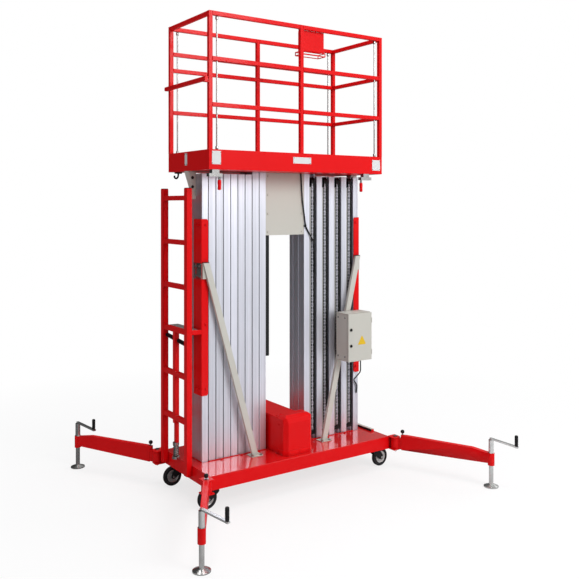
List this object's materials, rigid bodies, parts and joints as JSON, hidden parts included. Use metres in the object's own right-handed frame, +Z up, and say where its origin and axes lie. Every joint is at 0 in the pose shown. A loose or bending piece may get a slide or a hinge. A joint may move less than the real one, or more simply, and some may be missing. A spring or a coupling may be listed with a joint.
{
  "type": "vertical mast lift",
  "caption": "Push-around work platform on side-by-side banks of telescoping aluminium sections, with swing-out outriggers, screw jacks and swivel casters.",
  "frame": {"origin": "on the floor under the middle of the chassis", "axes": "+X along the chassis to the side with the control box, +Y to the back, +Z up"},
  "size_m": [2.6896, 2.7037, 3.61],
  "materials": {
    "red_paint": "gloss",
    "beige_paint": "satin",
    "mast_aluminium": "satin",
    "zinc_steel": "satin",
    "black_steel": "satin",
    "caster_tyre": "matt",
    "black_plastic": "matt"
  },
  "bodies": {
    "chassis": {"chassis_frame": "red_paint", "hinge_pins": "zinc_steel", "deck_plate": "red_paint", "post_channels": "red_paint", "mast_base_sections": "mast_aluminium", "mast_braces": "beige_paint", "power_pack": "red_paint", "ladder": "red_paint", "control_box": "beige_paint", "platform_rests": "beige_paint", "box_cable": "black_plastic"},
    "box_door": {"control_door": "beige_paint"},
    "platform": {"mast_section_left_5": "mast_aluminium", "mast_section_right_5": "mast_aluminium", "lift_chains_5": "black_steel", "platform_tray": "red_paint", "guardrail_front": "red_paint", "guardrail_back": "red_paint", "guardrail_ends": "red_paint", "bridge_plate": "beige_paint", "platform_case": "red_paint", "cable_guide": "black_plastic", "corner_clamps": "zinc_steel", "platform_cable": "black_plastic"},
    "entry_bar": {"entry_bar": "red_paint"},
    "stage_2": {"mast_section_left_2": "mast_aluminium", "mast_section_right_2": "mast_aluminium", "lift_chains_2": "black_steel"},
    "stage_3": {"mast_section_left_3": "mast_aluminium", "mast_section_right_3": "mast_aluminium", "lift_chains_3": "black_steel"},
    "stage_4": {"mast_section_left_4": "mast_aluminium", "mast_section_right_4": "mast_aluminium", "lift_chains_4": "black_steel"},
    "arm_fl": {"outrigger_arm_fl": "red_paint", "jack_head_fl": "zinc_steel"},
    "leg_fl": {"jack_leg_fl": "zinc_steel"},
    "fork_fl": {"caster_fork_fl": "black_steel"},
    "wheel_fl": {"caster_wheel_fl": "caster_tyre"},
    "arm_fr": {"outrigger_arm_fr": "red_paint", "jack_head_fr": "zinc_steel"},
    "leg_fr": {"jack_leg_fr": "zinc_steel"},
    "fork_fr": {"caster_fork_fr": "black_steel"},
    "wheel_fr": {"caster_wheel_fr": "caster_tyre"},
    "arm_bl": {"outrigger_arm_bl": "red_paint", "jack_head_bl": "zinc_steel"},
    "leg_bl": {"jack_leg_bl": "zinc_steel"},
    "fork_bl": {"caster_fork_bl": "black_steel"},
    "wheel_bl": {"caster_wheel_bl": "caster_tyre"},
    "arm_br": {"outrigger_arm_br": "red_paint", "jack_head_br": "zinc_steel"},
    "leg_br": {"jack_leg_br": "zinc_steel"},
    "fork_br": {"caster_fork_br": "black_steel"},
    "wheel_br": {"caster_wheel_br": "caster_tyre"}
  },
  "joints": [
    {"name": "lift", "type": "slide", "parent": "chassis", "child": "stage_2", "axis": [0, 0, 1], "range_m": [0, 1.55]},
    {"name": "lift_stage_3", "type": "slide", "parent": "stage_2", "child": "stage_3", "axis": [0, 0, 1], "range_m": [0, 1.55]},
    {"name": "lift_stage_4", "type": "slide", "parent": "stage_3", "child": "stage_4", "axis": [0, 0, 1], "range_m": [0, 1.55]},
    {"name": "lift_platform", "type": "slide", "parent": "stage_4", "child": "platform", "axis": [0, 0, 1], "range_m": [0, 1.55]},
    {"name": "entry_swing", "type": "hinge", "parent": "platform", "child": "entry_bar", "pos_m": [-0.846, 0.337, 3.115], "axis": [-1, 0, 0], "range_deg": [0, 80]},
    {"name": "door_swing", "type": "hinge", "parent": "chassis", "child": "box_door", "pos_m": [0.717, -0.31, 1.11], "axis": [0, 0, 1], "range_deg": [0, 110]},
    {"name": "outrigger_fl", "type": "hinge", "parent": "chassis", "child": "arm_fl", "pos_m": [-0.896, -0.407, 0.21], "axis": [0, 0, 1], "range_deg": [0, 105]},
    {"name": "jack_fl", "type": "slide", "parent": "arm_fl", "child": "leg_fl", "axis": [0, 0, 1], "range_m": [0, 0.12]},
    {"name": "swivel_fl", "type": "hinge", "parent": "chassis", "child": "fork_fl", "pos_m": [-0.765, -0.285, 0.17], "axis": [0, 0, 1], "continuous": true},
    {"name": "roll_fl", "type": "hinge", "parent": "fork_fl", "child": "wheel_fl", "pos_m": [-0.825, -0.285, 0.075], "axis": [0, 1, 0], "continuous": true},
    {"name": "outrigger_fr", "type": "hinge", "parent": "chassis", "child": "arm_fr", "pos_m": [0.896, -0.407, 0.21], "axis": [0, 0, -1], "range_deg": [0, 96]},
    {"name": "jack_fr", "type": "slide", "parent": "arm_fr", "child": "leg_fr", "axis": [0, 0, 1], "range_m": [0, 0.12]},
    {"name": "swivel_fr", "type": "hinge", "parent": "chassis", "child": "fork_fr", "pos_m": [0.765, -0.285, 0.17], "axis": [0, 0, 1], "continuous": true},
    {"name": "roll_fr", "type": "hinge", "parent": "fork_fr", "child": "wheel_fr", "pos_m": [0.825, -0.285, 0.075], "axis": [0, 1, 0], "continuous": true},
    {"name": "outrigger_bl", "type": "hinge", "parent": "chassis", "child": "arm_bl", "pos_m": [-0.896, 0.407, 0.21], "axis": [0, 0, -1], "range_deg": [0, 105]},
    {"name": "jack_bl", "type": "slide", "parent": "arm_bl", "child": "leg_bl", "axis": [0, 0, 1], "range_m": [0, 0.12]},
    {"name": "swivel_bl", "type": "hinge", "parent": "chassis", "child": "fork_bl", "pos_m": [-0.765, 0.285, 0.17], "axis": [0, 0, 1], "continuous": true},
    {"name": "roll_bl", "type": "hinge", "parent": "fork_bl", "child": "wheel_bl", "pos_m": [-0.825, 0.285, 0.075], "axis": [0, 1, 0], "continuous": true},
    {"name": "outrigger_br", "type": "hinge", "parent": "chassis", "child": "arm_br", "pos_m": [0.896, 0.407, 0.21], "axis": [0, 0, 1], "range_deg": [0, 102]},
    {"name": "jack_br", "type": "slide", "parent": "arm_br", "child": "leg_br", "axis": [0, 0, 1], "range_m": [0, 0.12]},
    {"name": "swivel_br", "type": "hinge", "parent": "chassis", "child": "fork_br", "pos_m": [0.765, 0.285, 0.17], "axis": [0, 0, 1], "continuous": true},
    {"name": "roll_br", "type": "hinge", "parent": "fork_br", "child": "wheel_br", "pos_m": [0.825, 0.285, 0.075], "axis": [0, 1, 0], "continuous": true}
  ],
  "couplings": [
    {"joint": "lift_stage_3", "follows": "lift", "ratio": 1},
    {"joint": "lift_stage_4", "follows": "lift", "ratio": 1},
    {"joint": "lift_platform", "follows": "lift", "ratio": 1}
  ]
}
